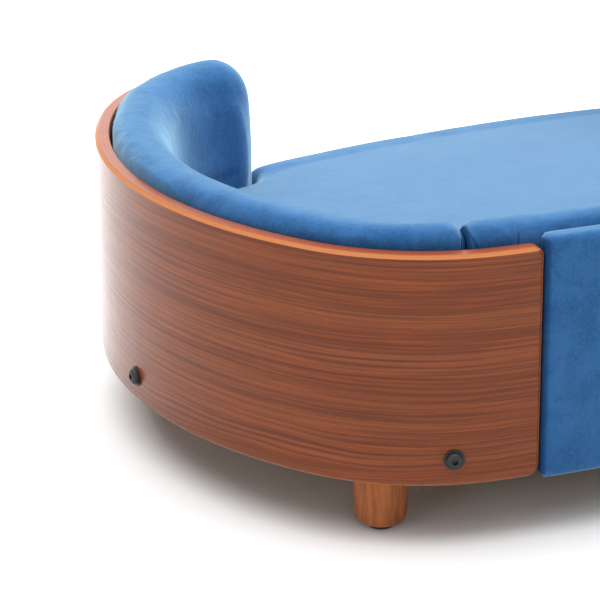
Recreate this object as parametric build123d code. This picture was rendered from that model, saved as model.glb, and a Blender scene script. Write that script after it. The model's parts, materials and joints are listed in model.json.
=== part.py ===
from build123d import *
import math
import os

# An oval dog bed: two bent-plywood end shells, a padded back panel between them, low padded front
# apron, a plywood base on four turned legs, three bolsters and one mattress that lift out.
# Millimetres. X runs along the bed, the open front faces -Y, Z is up, and the floor is Z = 0.

# Overall form in plan: an oval of tangent arcs, seen from above
half_length = 460.0
half_depth = 314.0
end_flattening = 62.0  # how much larger the end arc's radius is than the half depth
end_turn = 33.5        # degrees where the end arc hands over to the corner arc
corner_turn = 80.7     # degrees where the corner arc hands over to the long side

# Heights
leg_height = 56.0
shell_height = 200.0
ring_recess = 8.0
ring_height = 30.0
deck_thickness = 9.0

# Bent-plywood shells
wall = 13.0
shell_reach = 227.5    # from the bed's end to the shell's ends, along the bed
shell_corner_radius = 9.0
shell_bevel = 3.0
shell_inner_bevel = 0.8

# Clearances
fit_gap = 0.3
seam_gap = 1.2
pad_gap = 0.6
overrun = 5.0

# Base
ring_width = 60.0
ring_split_setback = 110.0   # from the shell's ends towards the middle
cross_rail_setback = 55.0
cross_rail_width = 40.0

# Shell bolts, their washers and the threaded inserts in the base ring
bolt_height = 24.0     # above the shell's lower edge
bolt_angle = 69.0      # degrees, on the corner arc
bolt_diameter = 8.0
bolt_hole_slack = 0.4
bolt_head_diameter = 14.0
bolt_head_height = 4.6
bolt_edge_height = 1.0
bolt_socket_width = 5.0
bolt_socket_depth = 2.6
bolt_reach = 18.0      # into the insert
washer_diameter = 17.4
washer_thickness = 1.4
insert_diameter = 12.0
insert_length = 22.0
thread_slack = 0.1

# Turned legs, their plates and studs, and the glides under them
leg_angle = 48.8       # degrees, on the corner arc
leg_inset = 43.0
leg_top_diameter = 50.0
leg_bottom_diameter = 43.0
leg_bottom_rounding = 8.0
plate_width = 50.0
plate_thickness = 2.4
plate_screw_spread = 36.0
boss_diameter = 13.0
boss_height = 9.0
stud_diameter = 8.0
stud_reach_down = 24.0
stud_reach_up = 6.0
glide_diameter = 23.0
glide_thickness = 4.5
glide_pin_diameter = 3.0
glide_pin_length = 14.0

# Padded back panel and front apron
panel_proud = 4.0
panel_rise = 8.0       # above the shells
panel_drop = 3.0       # below the shells
panel_padding = 5.0
panel_rounding = 7.0
apron_top_rise = 2.0   # above the deck

# Bolsters
bolster_back_gap = 2.2
bolster_thickness = 50.0
bolster_rise = 14.0    # above the shells
bolster_shoulder = 21.0
bolster_bulge = 4.0
bolster_split_angle = 72.6   # degrees
front_end_length = 50.0
front_end_width = 12.0
front_end_drop = 46.0
butt_end_length = 12.0
butt_end_inset = 7.0
butt_end_drop = 9.0
bolster_board_thickness = 5.0
bolster_board_foot = 14.0    # above the bolster's underside
bolster_board_head = 34.0    # below the bolster's top
bolster_board_margin = 26.0  # back from a side bolster's ends, along the wall
back_board_overlap = 10.0    # how far the back board reaches behind the shells

# Hook-and-loop strips between shells and bolsters
strip_thickness = 0.6
strip_width = 25.0
strip_length = 90.0
strip_height = 130.0   # middle of the strip above the shell's lower edge
side_strip_angle = 50.0      # degrees
back_strip_setback = 95.0    # from the shell's ends towards the middle

# Mattress
mattress_front_inset = 24.0
mattress_edge_height = 55.0
mattress_crown = 8.0
mattress_top_rounding = 15.0
mattress_foot_rounding = 6.0
mattress_corner_radius = 17.0
cover_thickness = 2.5
base_fabric_thickness = 1.4

# Steel join plates between the shells and the back panel
join_plate_length = 64.0
join_plate_width = 18.0
join_plate_thickness = 1.5
join_plate_heights = (62.0, 158.0)   # above the shell's lower edge
join_screw_spread = 42.0

# Screws and dowels
screw_diameter = 4.0
screw_head_diameter = 8.0
screw_head_height = 2.2
screw_hole_slack = 0.1
deck_screw_length = 28.0
deck_screw_inset = 56.0
deck_screw_angles = (11.0, 30.0, 62.0, 82.0)
rail_screw_place_shares = (0.2, 0.55)   # of the half depth
plate_screw_length = 16.0
join_screw_length = 10.0
dowel_diameter = 8.0
dowel_length = 26.0
dowel_in_board = 9.0
dowel_place_shares = (0.27, 0.73)   # of the half opening

# Levels worked out from the heights above
shell_bottom = leg_height
shell_top = shell_bottom + shell_height
ring_bottom = shell_bottom + ring_recess
ring_top = ring_bottom + ring_height
deck_top = ring_top + deck_thickness
cushion_seat = deck_top + fit_gap
bolster_top = shell_top + bolster_rise
bolt_level = shell_bottom + bolt_height
base_inset = wall + fit_gap
bolster_outer = wall + bolster_back_gap
bolster_inner = bolster_outer + bolster_thickness
mattress_inset = bolster_inner + bolster_bulge + pad_gap

# Radii and centres of the oval's arcs, from its half length, half depth and end radius
end_radius = half_depth + end_flattening
end_cos = math.cos(math.radians(end_turn))
end_sin = math.sin(math.radians(end_turn))
side_cos = math.cos(math.radians(corner_turn))
side_sin = math.sin(math.radians(corner_turn))
along = half_length - end_radius * (1 - end_cos)
across = half_depth - end_radius * end_sin
spread = (end_cos - side_cos) * (1 - side_sin) - side_cos * (side_sin - end_sin)
corner_radius = (along * (1 - side_sin) - across * side_cos) / spread
side_radius = (across * (end_cos - side_cos) - along * (side_sin - end_sin)) / spread
end_centre = (half_length - end_radius, 0)
corner_centre = (end_centre[0] + (end_radius - corner_radius) * end_cos, (end_radius - corner_radius) * end_sin)
side_centre = (0, half_depth - side_radius)

# Places along the bed that follow its length
opening_half_width = half_length - shell_reach
ring_split_half_width = opening_half_width - ring_split_setback
cross_rail_place = opening_half_width - cross_rail_setback
back_board_half_width = opening_half_width + back_board_overlap
back_strip_place = opening_half_width - back_strip_setback
rail_screw_places = [share * half_depth for share in rail_screw_place_shares]
dowel_places = [share * opening_half_width for share in dowel_place_shares]


def arc_of(angle):
    """Centre and radius of the oval's arc whose outward normal points along angle, in degrees."""
    x_side = 1 if math.cos(math.radians(angle)) >= 0 else -1
    y_side = 1 if math.sin(math.radians(angle)) >= 0 else -1
    quarter = math.degrees(math.atan2(abs(math.sin(math.radians(angle))), abs(math.cos(math.radians(angle)))))
    if quarter <= end_turn:
        centre, radius = end_centre, end_radius
    elif quarter <= corner_turn:
        centre, radius = corner_centre, corner_radius
    else:
        centre, radius = side_centre, side_radius
    return (x_side * centre[0], y_side * centre[1]), radius


def on_oval(angle, inset, level=0):
    """The point at a distance inside the outer face, where the outward normal points along angle."""
    centre, radius = arc_of(angle)
    reach = radius - inset
    turn = math.radians(angle)
    return Vector(centre[0] + reach * math.cos(turn), centre[1] + reach * math.sin(turn), level)


def side_angle(place, inset=0):
    """Angle of the normal on the back wall at a distance from the bed's middle, along the bed."""
    if place <= (side_radius - inset) * side_cos:
        return math.degrees(math.acos(place / (side_radius - inset)))
    return math.degrees(math.acos((place - corner_centre[0]) / (corner_radius - inset)))


def bends(start, stop):
    """The angles between start and stop at which one arc hands over to the next, with both ends."""
    marks = [turn + quarter for turn in (-360, -180, 0, 180, 360)
             for quarter in (-corner_turn, -end_turn, end_turn, corner_turn)]
    return [start] + sorted(mark for mark in marks if start < mark < stop) + [stop]


def edge_run(start, stop, inset):
    """Tangent arcs along the oval from one angle to another."""
    angles = bends(start, stop)
    return [ThreePointArc(on_oval(a, inset), on_oval((a + b) / 2, inset), on_oval(b, inset))
            for a, b in zip(angles, angles[1:])]


def oval_face(inset):
    """The whole oval, a distance inside the outer face."""
    return make_face(edge_run(end_turn, end_turn + 360, inset))


def band_face(start, stop, outer, inner):
    """A strip of the oval between two angles and two insets, with ends square to the wall."""
    edges = edge_run(start, stop, outer) + edge_run(start, stop, inner)
    edges.append(Line(on_oval(start, outer), on_oval(start, inner)))
    edges.append(Line(on_oval(stop, outer), on_oval(stop, inner)))
    return make_face(edges)


def block(face, bottom, top):
    """A flat face at Z = 0 as a solid between two levels."""
    return Pos(0, 0, bottom) * extrude(face, top - bottom)


def band(start, stop, outer, inner, bottom, top):
    return block(band_face(start, stop, outer, inner), bottom, top)


def inward(angle, inset, level):
    """A place on the wall whose Z axis points outwards, square to the wall."""
    turn = math.radians(angle)
    outwards = Vector(math.cos(turn), math.sin(turn), 0)
    return Location(Plane(origin=on_oval(angle, inset, level), x_dir=(0, 0, 1), z_dir=outwards))


def upright(angle, inset, level):
    """A place under or on the base, turned with the wall, whose Z axis points up."""
    return Pos(on_oval(angle, inset, level)) * Rot(0, 0, angle)


def rod(diameter, length):
    """A cylinder that starts at the place it is put and runs along its Z axis."""
    return Cylinder(diameter / 2, length, align=(Align.CENTER, Align.CENTER, Align.MIN))


def sunk_screw(length, above=0):
    """A countersunk screw, its head flush with the place it is put. With room above it, it cuts its own hole."""
    slack = screw_hole_slack if above else 0
    point = Pos(0, 0, -length) * rod(screw_diameter + slack, length)
    cone = Cone((screw_diameter + slack) / 2, (screw_head_diameter + slack) / 2, screw_head_height)
    screw = point + Pos(0, 0, -screw_head_height / 2) * cone
    return screw + rod(screw_head_diameter + slack, above) if above else screw


def mirrored(angle):
    """The four angles that mirror one angle about both axes of the oval."""
    return (angle, 180 - angle, 180 + angle, -angle)


def joined(solids):
    """Separate solids kept in one group."""
    return Compound(children=[solid for shape in solids for solid in shape.solids()])


def cut(shape, tools):
    for tool in tools:
        shape = shape - tool
    return shape


# Where the shells end, seen as angles of the wall's normal
shell_end_angle = side_angle(opening_half_width)
ring_split_angle = side_angle(ring_split_half_width)
bolt_angles = (0.0, bolt_angle, -bolt_angle)
all_bolt_angles = bolt_angles + tuple(180 - angle for angle in bolt_angles)
leg_names = ("back_right", "back_left", "front_left", "front_right")
leg_angles = mirrored(leg_angle)


# Fasteners through the shells
def shell_bolt(angle):
    seat = inward(angle, -washer_thickness, bolt_level)
    head = Cylinder(bolt_head_diameter / 2, bolt_head_height, align=(Align.CENTER, Align.CENTER, Align.MIN))
    head = fillet(head.edges().sort_by(Axis.Z)[-1], bolt_head_height - bolt_edge_height)
    socket = extrude(RegularPolygon(bolt_socket_width / 2, 6, major_radius=False), bolt_socket_depth)
    head = head - Pos(0, 0, bolt_head_height - bolt_socket_depth) * socket
    length = washer_thickness + base_inset + bolt_reach
    return seat * (head + Pos(0, 0, -length) * rod(bolt_diameter, length))


def shell_washer(angle):
    hole = bolt_diameter + bolt_hole_slack
    ring = rod(washer_diameter, washer_thickness) - rod(hole, washer_thickness)
    return inward(angle, 0, bolt_level) * ring


def bolt_insert(angle):
    sleeve = rod(insert_diameter, insert_length) - rod(bolt_diameter + thread_slack, insert_length)
    return inward(angle, base_inset + insert_length, bolt_level) * sleeve


# Shells
def inset_of(point):
    """How far a point lies inside the oval's outer face."""
    x, y = abs(point.X), abs(point.Y)
    for centre, radius, low, high in ((end_centre, end_radius, 0, end_turn),
                                      (corner_centre, corner_radius, end_turn, corner_turn),
                                      (side_centre, side_radius, corner_turn, 90)):
        turn = math.degrees(math.atan2(y - centre[1], x - centre[0]))
        if low <= turn <= high:
            return radius - math.hypot(x - centre[0], y - centre[1])
    return half_depth


def rim_edges(shell, inset):
    """The edges round one face of a shell, without the seams between its arcs."""
    slack = fit_gap / 10
    chosen = []
    for edge in shell.edges():
        if any(abs(inset_of(edge @ share) - inset) > slack for share in (0, 0.5, 1)):
            continue
        upright_seam = abs((edge % 0.5).Z) > 0.9 and edge.length > shell_height - 3 * shell_corner_radius
        away_from_ends = abs((edge @ 0.5).X) > opening_half_width + wall
        if not (upright_seam and away_from_ends):
            chosen.append(edge)
    return chosen


def end_shell():
    """The bent-plywood shell round the bed's +X end."""
    shell = band(-shell_end_angle, shell_end_angle, 0, wall, shell_bottom, shell_top)
    across_wall = [edge for edge in shell.edges() if abs(edge.length - wall) < fit_gap / 10]
    shell = fillet(across_wall, shell_corner_radius)
    shell = chamfer(rim_edges(shell, 0), shell_bevel)
    shell = chamfer(rim_edges(shell, wall), shell_inner_bevel)
    hole = bolt_diameter + bolt_hole_slack
    holes = [inward(angle, wall + overrun, bolt_level) * rod(hole, wall + 2 * overrun) for angle in bolt_angles]
    return cut(shell, holes + join_screws(1))


# Join plates across the seams between the shells and the back panel
def seam_angles(x_side, spread_along):
    """The two angles that lie a spread apart, half each side of the seam at one end of the back panel."""
    angles = [side_angle(opening_half_width + way * spread_along / 2, base_inset) for way in (1, -1)]
    return angles if x_side > 0 else [180 - angle for angle in reversed(angles)]


def join_screws(x_side, above=0):
    screws = []
    for height in join_plate_heights:
        for angle in seam_angles(x_side, join_screw_spread):
            place = inward(angle, base_inset + join_plate_thickness, shell_bottom + height) * Rot(180, 0, 0)
            screws.append(place * sunk_screw(join_screw_length, above))
    return screws


def join_plates():
    """The left-hand plates with their screw holes, and the right-hand ones that mirror them."""
    plates = []
    start, stop = seam_angles(-1, join_plate_length)
    for height in join_plate_heights:
        middle = shell_bottom + height
        plate = band(start, stop, base_inset, base_inset + join_plate_thickness,
                     middle - join_plate_width / 2, middle + join_plate_width / 2)
        plates.append(cut(plate, join_screws(-1, overrun)))
    return plates + [mirror_x(plate) for plate in plates]


# Padded back panel and front apron
def padded_board(middle, bottom, top):
    """A bent board and the padded cover wrapped over it, centred on an angle of the oval."""
    reach = opening_half_width - seam_gap
    half_turn = 90 - side_angle(reach)
    board_turn = 90 - side_angle(reach - panel_padding)
    outer = panel_padding - panel_proud
    board = band(middle - board_turn, middle + board_turn, outer, wall, bottom + panel_padding, top - panel_padding)
    cover = band(middle - half_turn, middle + half_turn, -panel_proud, wall, bottom, top)
    outer_rim = [edge for edge in cover.edges() if abs(inset_of(edge @ 0.5) + panel_proud) < fit_gap / 10]
    cover = fillet(outer_rim, panel_rounding)
    pocket = band(middle - board_turn, middle + board_turn, outer, wall + overrun,
                  bottom + panel_padding, top - panel_padding)
    return board, cover - pocket


def dowels(middle):
    pegs = []
    for place in dowel_places:
        for angle in (middle - 90 + side_angle(place), middle + 90 - side_angle(place)):
            peg = inward(angle, wall + dowel_length - dowel_in_board, bolt_level) * rod(dowel_diameter, dowel_length)
            pegs.append(peg)
    return pegs


# Base: a ring in four lengths, three rails across it and a deck on top
def deck_screws(above=0):
    places = [on_oval(angle, deck_screw_inset, deck_top) for quarter in deck_screw_angles
              for angle in mirrored(quarter)]
    places += [Vector(x_side * cross_rail_place, y_side * place, deck_top) for place in rail_screw_places
               for x_side in (-1, 1) for y_side in (-1, 1)]
    return [Pos(place) * sunk_screw(deck_screw_length, above) for place in places]


def leg_plate(angle):
    """A steel plate under the base ring, with a threaded boss that the leg's stud screws into."""
    plate = Box(plate_width, plate_width, plate_thickness, align=(Align.CENTER, Align.CENTER, Align.MAX))
    bore = stud_diameter + thread_slack
    boss = rod(boss_diameter, boss_height)
    place = upright(angle, leg_inset, ring_bottom)
    hole = Pos(0, 0, -plate_thickness) * rod(bore, plate_thickness + boss_height)
    return cut(place * (plate + boss - hole), plate_screws(angle, overrun))


def plate_screws(angle, above=0):
    half = plate_screw_spread / 2
    place = upright(angle, leg_inset, ring_bottom - plate_thickness)
    screw = Rot(180, 0, 0) * sunk_screw(plate_screw_length, above)
    return [place * Pos(x_side * half, y_side * half, 0) * screw for x_side in (-1, 1) for y_side in (-1, 1)]


def ring_cutters():
    """Everything that the base ring and the rails leave room for."""
    tools = [inward(angle, base_inset + insert_length, bolt_level) * rod(insert_diameter, insert_length + overrun)
             for angle in all_bolt_angles]
    tools += [upright(angle, leg_inset, ring_bottom - overrun) * rod(boss_diameter, boss_height + overrun)
              for angle in leg_angles]
    tools += [screw for angle in leg_angles for screw in plate_screws(angle)]
    return tools + deck_screws() + dowels(90) + dowels(-90)


def ring_part(start, stop):
    part = band(start, stop, base_inset, base_inset + ring_width, ring_bottom, ring_top)
    return cut(part, ring_cutters())


def rails():
    inside = block(oval_face(base_inset + ring_width + fit_gap), ring_bottom, ring_top)
    long = 2 * half_depth
    middle = ring_bottom + ring_height / 2
    cross = {}
    for name, x_side in (("right", 1), ("left", -1)):
        rail = Pos(x_side * cross_rail_place, 0, middle) * Box(cross_rail_width, long, ring_height)
        cross[name] = cut(rail & inside, deck_screws())
    gap = 2 * cross_rail_place - cross_rail_width - 2 * fit_gap
    centre = Pos(0, 0, middle) * Box(gap, cross_rail_width, ring_height)
    return cross["right"], cross["left"], centre


def deck():
    return cut(block(oval_face(base_inset), ring_top, deck_top), deck_screws(overrun))


# Legs
def leg(angle):
    top = ring_bottom - plate_thickness
    bottom = glide_thickness
    post = Cone(leg_bottom_diameter / 2, leg_top_diameter / 2, top - bottom,
                align=(Align.CENTER, Align.CENTER, Align.MIN))
    post = fillet(post.edges().sort_by(Axis.Z)[0], leg_bottom_rounding)
    stud_hole = Pos(0, 0, top - bottom - stud_reach_down) * rod(stud_diameter, stud_reach_down + overrun)
    pin_hole = Pos(0, 0, -overrun) * rod(glide_pin_diameter, glide_pin_length + overrun)
    return upright(angle, leg_inset, bottom) * (post - stud_hole - pin_hole)


def leg_stud(angle):
    top = ring_bottom - plate_thickness
    length = stud_reach_down + plate_thickness + stud_reach_up
    return upright(angle, leg_inset, top - stud_reach_down) * rod(stud_diameter, length)


def glide(angle):
    pad = Cylinder(glide_diameter / 2, glide_thickness, align=(Align.CENTER, Align.CENTER, Align.MIN))
    pad = chamfer(pad.edges().sort_by(Axis.Z)[0], glide_thickness / 5)
    return upright(angle, leg_inset, 0) * (pad + Pos(0, 0, glide_thickness) * rod(glide_pin_diameter, glide_pin_length))


# Bolsters
def bolster_section(angle, slim_out=0, slim_in=0, drop=0):
    """A crowned section of a bolster, square to the wall, made smaller towards the bolster's ends."""
    outer = bolster_outer + slim_out
    inner = bolster_inner - slim_in
    top = bolster_top - drop
    shoulder = top - min(bolster_shoulder, (inner - outer) / 2)
    belly = (shoulder + cushion_seat) / 2
    middle = (outer + inner) / 2
    bulge = bolster_bulge * (inner - outer) / bolster_thickness
    foot_out, foot_in = on_oval(angle, outer, cushion_seat), on_oval(angle, inner, cushion_seat)
    head_out, head_in = on_oval(angle, outer, shoulder), on_oval(angle, inner, shoulder)
    return make_face([Line(foot_in, foot_out), Line(foot_out, head_out),
                      ThreePointArc(head_out, on_oval(angle, middle, top), head_in),
                      ThreePointArc(head_in, on_oval(angle, inner + bulge, belly), foot_in)])


def swept(start, stop):
    """The section carried round the oval's arcs from one angle to another."""
    angles = bends(start, stop)
    body = None
    for a, b in zip(angles, angles[1:]):
        centre, _ = arc_of((a + b) / 2)
        length = revolve(bolster_section(a), Axis((centre[0], centre[1], 0), (0, 0, 1)), b - a)
        body = length if body is None else body + length
    return body


def rounded_end(angle, way, length, slim_out, slim_in, drop):
    """A soft end: sections that shrink as a quarter ellipse does, from the full section outwards."""
    radius = arc_of(angle + way)[1] - (bolster_outer + bolster_inner) / 2
    sections = []
    for turn in (0, 22, 44, 62, 78):
        share = math.sin(math.radians(turn))
        loss = 1 - math.cos(math.radians(turn))
        here = angle + way * math.degrees(length * share / radius)
        sections.append(bolster_section(here, slim_out * loss, slim_in * loss, drop * loss))
    return loft(sections)


def turn_for(length, angle):
    """Angle that a length along the bolster takes up on the arc at an angle."""
    return math.degrees(length / (arc_of(angle)[1] - (bolster_outer + bolster_inner) / 2))


def bolster_board(start, stop):
    return band(start, stop, bolster_outer, bolster_outer + bolster_board_thickness,
                cushion_seat + bolster_board_foot, bolster_top - bolster_board_head)


def side_bolster():
    """The C-shaped bolster inside the +X shell, and its stiff back board."""
    butt = bolster_split_angle - turn_for(butt_end_length + pad_gap / 2, bolster_split_angle)
    pad = swept(-corner_turn, butt)
    pad += rounded_end(butt, 1, butt_end_length, butt_end_inset / 2, butt_end_inset, butt_end_drop)
    pad += rounded_end(-corner_turn, -1, front_end_length, 0, bolster_thickness - front_end_width, front_end_drop)
    start = -corner_turn + turn_for(bolster_board_margin, corner_turn - end_turn)
    stop = butt - turn_for(bolster_board_margin, butt)
    board = bolster_board(start, stop)
    return pad - board, board


def back_bolster():
    """The bolster across the back, between the two side bolsters, and its stiff back board."""
    butt = bolster_split_angle + turn_for(butt_end_length + pad_gap / 2, bolster_split_angle)
    pad = swept(butt, 180 - butt)
    for angle, way in ((butt, -1), (180 - butt, 1)):
        pad += rounded_end(angle, way, butt_end_length, butt_end_inset / 2, butt_end_inset, butt_end_drop)
    start = side_angle(back_board_half_width, bolster_outer)
    board = bolster_board(start, 180 - start)
    return pad - board, board


# Hook-and-loop strips
def strips(angles, outer):
    half = strip_width / 2
    middle = shell_bottom + strip_height
    pieces = []
    for angle in angles:
        turn = math.degrees(strip_length / 2 / arc_of(angle)[1])
        pieces.append(band(angle - turn, angle + turn, outer, outer + strip_thickness, middle - half, middle + half))
    return pieces


# Mattress
def mattress_outline(inset):
    """The mattress in plan: inside the bolsters, and out to the front between their ends."""
    room = mattress_inset + inset
    front = oval_face(mattress_front_inset + inset)
    past = turn_for(bolster_bulge, 90)
    front = front - band_face(-corner_turn - past, 180 + corner_turn + past, -overrun, room)
    nose = front_end_length + inset
    for angle in (-corner_turn - past, 180 + corner_turn + past):
        front = front - Pos(on_oval(angle, room - nose)) * Circle(nose)
    sharp = [v for v in front.vertices() if v.Y < 0 and abs(inset_of(v) - mattress_front_inset - inset) < fit_gap / 10]
    return fillet(sharp, mattress_corner_radius - inset)


def mattress_form(inset, bottom, top_loss, top_rounding, foot_rounding):
    """A crowned cushion: rounded at the top and foot, with a shallow dome over the whole."""
    edge_top = cushion_seat + mattress_edge_height - top_loss
    peak = edge_top + mattress_crown
    span = half_depth - mattress_front_inset
    dome_radius = (span ** 2 + mattress_crown ** 2) / (2 * mattress_crown)
    body = block(mattress_outline(inset), bottom, peak + overrun)
    body = body & Pos(0, 0, peak - dome_radius) * Sphere(dome_radius)
    upper = [edge for edge in body.edges() if edge.bounding_box().min.Z > bottom + mattress_edge_height / 3]
    body = fillet(upper, top_rounding)
    lower = body.edges().group_by(Axis.Z)[0]
    return fillet(lower, foot_rounding)


def mattress():
    whole = mattress_form(0, cushion_seat, 0, mattress_top_rounding, mattress_foot_rounding)
    core_foot = cushion_seat + base_fabric_thickness
    core = mattress_form(cover_thickness, core_foot, cover_thickness,
                         mattress_top_rounding - cover_thickness, mattress_foot_rounding - cover_thickness)
    slab = block(oval_face(0), cushion_seat - overrun, core_foot)
    cover = whole - core - slab
    base_fabric = whole & slab
    return cover, base_fabric, core


def mirror_x(shape):
    return mirror(shape, about=Plane.YZ)


# Build every piece
pieces = {}
pieces["shell_right"] = end_shell()
pieces["shell_left"] = mirror_x(pieces["shell_right"])
pieces["shell_bolts"] = joined([shell_bolt(angle) for angle in all_bolt_angles])
pieces["shell_washers"] = joined([shell_washer(angle) for angle in all_bolt_angles])
pieces["bolt_inserts"] = joined([bolt_insert(angle) for angle in all_bolt_angles])

board, cover = padded_board(90, shell_bottom - panel_drop, shell_top + panel_rise)
seam_screws = join_screws(1) + join_screws(-1)
pieces["back_panel_board"] = cut(board, seam_screws + dowels(90))
pieces["back_panel_cover"] = cover
board, cover = padded_board(-90, shell_bottom - panel_drop, deck_top + apron_top_rise)
pieces["front_apron_board"] = cut(board, dowels(-90))
pieces["front_apron_cover"] = cover
pieces["panel_dowels"] = joined(dowels(90) + dowels(-90))
pieces["join_plates"] = joined(join_plates())
pieces["join_plate_screws"] = joined(seam_screws)

pieces["base_ring_right"] = ring_part(-ring_split_angle, ring_split_angle)
pieces["base_ring_left"] = mirror_x(pieces["base_ring_right"])
pieces["base_rail_back"] = ring_part(ring_split_angle, 180 - ring_split_angle)
pieces["base_rail_front"] = ring_part(ring_split_angle - 180, -ring_split_angle)
pieces["cross_rail_right"], pieces["cross_rail_left"], pieces["centre_rail"] = rails()
pieces["deck_board"] = deck()
pieces["deck_screws"] = joined(deck_screws())

for name, angle in zip(leg_names, leg_angles):
    pieces["leg_" + name] = leg(angle)
pieces["leg_plates"] = joined([leg_plate(angle) for angle in leg_angles])
pieces["leg_plate_screws"] = joined([screw for angle in leg_angles for screw in plate_screws(angle)])
pieces["leg_studs"] = joined([leg_stud(angle) for angle in leg_angles])
pieces["leg_glides"] = joined([glide(angle) for angle in leg_angles])

pieces["bolster_right"], pieces["bolster_board_right"] = side_bolster()
pieces["bolster_left"] = mirror_x(pieces["bolster_right"])
pieces["bolster_board_left"] = mirror_x(pieces["bolster_board_right"])
pieces["bolster_back"], pieces["bolster_board_back"] = back_bolster()

side_strips = (0.0, side_strip_angle, -side_strip_angle)
back_strips = (side_angle(back_strip_place), 180 - side_angle(back_strip_place))
loop_face = bolster_outer - fit_gap - strip_thickness
hook_angles = side_strips + tuple(180 - angle for angle in side_strips) + back_strips
pieces["hook_strips"] = joined(strips(hook_angles, base_inset))
pieces["loop_strips_right"] = joined(strips(side_strips, loop_face))
pieces["loop_strips_left"] = joined(strips([180 - angle for angle in side_strips], loop_face))
pieces["loop_strips_back"] = joined(strips(back_strips, loop_face))

pieces["mattress_cover"], pieces["mattress_base_fabric"], pieces["mattress_core"] = mattress()

os.makedirs("parts", exist_ok=True)
for name, shape in pieces.items():
    export_step(shape, f"parts/{name}.step")
print("pieces", len(pieces), "corner radius", round(corner_radius, 1), "side radius", round(side_radius, 1))
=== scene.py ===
import json
import math

import bmesh
import bpy
import numpy as np
from bpy.props import FloatProperty, FloatVectorProperty, PointerProperty
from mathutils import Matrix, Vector
from mathutils.bvhtree import BVHTree

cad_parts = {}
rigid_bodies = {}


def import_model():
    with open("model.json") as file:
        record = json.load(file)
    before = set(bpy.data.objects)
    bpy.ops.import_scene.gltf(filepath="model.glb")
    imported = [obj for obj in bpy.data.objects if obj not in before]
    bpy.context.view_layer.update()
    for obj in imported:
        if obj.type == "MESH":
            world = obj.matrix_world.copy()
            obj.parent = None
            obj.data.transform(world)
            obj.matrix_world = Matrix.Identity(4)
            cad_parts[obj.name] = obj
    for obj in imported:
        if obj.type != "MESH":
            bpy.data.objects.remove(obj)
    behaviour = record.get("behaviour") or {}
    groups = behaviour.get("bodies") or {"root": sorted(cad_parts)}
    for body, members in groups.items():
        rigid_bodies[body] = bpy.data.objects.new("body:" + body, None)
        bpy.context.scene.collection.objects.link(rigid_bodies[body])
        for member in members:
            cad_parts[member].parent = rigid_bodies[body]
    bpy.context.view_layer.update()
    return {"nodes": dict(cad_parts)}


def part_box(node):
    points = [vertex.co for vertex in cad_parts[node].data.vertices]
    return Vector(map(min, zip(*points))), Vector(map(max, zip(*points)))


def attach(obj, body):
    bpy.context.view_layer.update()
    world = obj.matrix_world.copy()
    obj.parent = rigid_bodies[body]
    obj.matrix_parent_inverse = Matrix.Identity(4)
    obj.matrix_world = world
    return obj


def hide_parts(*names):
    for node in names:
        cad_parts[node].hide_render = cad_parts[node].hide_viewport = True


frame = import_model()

bl_info = {
    "name": "Oval Dog Bed",
    "version": (1, 0, 0),
    "blender": (4, 5, 0),
    "location": "3D View > Sidebar > Dog Bed",
    "description": "Dresses the oval dog bed in walnut veneer and velvet",
    "category": "Object",
}

# Levels and reach read from the frame; all lengths are in metres and all turns in degrees
SHELL_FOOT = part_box("shell_right")[0][2]
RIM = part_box("shell_right")[1][2]
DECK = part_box("deck_board")[1][2]
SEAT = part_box("mattress_base_fabric")[0][2]
HALF_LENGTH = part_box("shell_right")[1][0]

# The oval in plan: an end arc, a corner arc and a side arc, each tangent to the next
HALF_DEPTH = 0.314
END_RADIUS = HALF_DEPTH + 0.062
END_TURN = 33.5
SIDE_TURN = 80.7
OPENING = 0.2325
WALL = 0.013
RIM_BEVEL = 0.003

# Bolsters: insets from the wall's outer face, the turn where they meet, and their soft ends, each
# with its length, how much it slims outside and inside, and how far its top drops
BOLSTER_OUTER = 0.0152
BOLSTER_INNER = 0.0652
BOLSTER_RISE = 0.0170
BOLSTER_BULGE = 0.004
BOLSTER_SPLIT = 72.6
BOLSTER_POINTS = 56
BOLSTER_VOXEL = 0.005
SPLIT_GAP = 0.12
BUTT_BACK = 0.0100
BUTT_SHAPE = (0.016, 0.002, 0.006, 0.030)
NOSE_SHAPE = (0.0405, 0.0, 0.030, 0.046)
NOSE_RADIUS = 0.0340
NOSE_TURN = 80.87
NOSE_END = -86.5
SOFT_TURNS = (12, 24, 35, 45, 54, 62, 69, 75, 80, 84)

# Mattress
MATTRESS_ROOM = 0.0698
MATTRESS_FRONT = 0.024
MATTRESS_FRONT_LIMIT = 0.0205
MATTRESS_EDGE = 0.052
MATTRESS_TOP = 0.066
MATTRESS_FOOT_RADIUS = 0.007
MATTRESS_EDGE_RADIUS = 0.009
MATTRESS_VOXEL = 0.006
CROWN_REACH = (0.40, 0.30)
SEAM_HEIGHT = 0.030
UNDERSIDE_INSET = 0.009
DOTS_ACROSS = 61

# Back panel and front apron
PANEL_REACH = OPENING - 0.0012
PANEL_PROUD = -0.004
PANEL_BEHIND = WALL + 0.00015
PANEL_EDGE_RADIUS = 0.0075
PANEL_CORNER = 0.006
PANEL_HEM = 0.016
PANEL_CROWN = 0.0016
PANEL_COLUMNS = 84
PANEL_ROW = 0.005
STAPLE_INSET = 0.011
STAPLE_LENGTH = 0.011

# Lines of painted shade on the velvet: an end seam, and pleats by their place and lean
END_SEAM = 0.0052
PLEATS = ((0.0085, -0.5), (0.045, 0.1))

# Colours that aren't settings, and how strong the sky is
# Painted shade: a deep blue laid along seams, pleats, the joint between the bolsters and the panels' ends
PAINTED_SHADE_BLUE = (0.006, 0.026, 0.080)
# Painted sheen: a paler blue laid on the mattress, standing in for the sheen and overhead light its top
# catches
MATTRESS_PAINTED_SHEEN = (0.105, 0.205, 0.370)
PORE_BROWN = (0.045, 0.014, 0.008)
SKY_TINT = (0.84, 0.92, 1.0)
SKY_STRENGTH = 0.16


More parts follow.
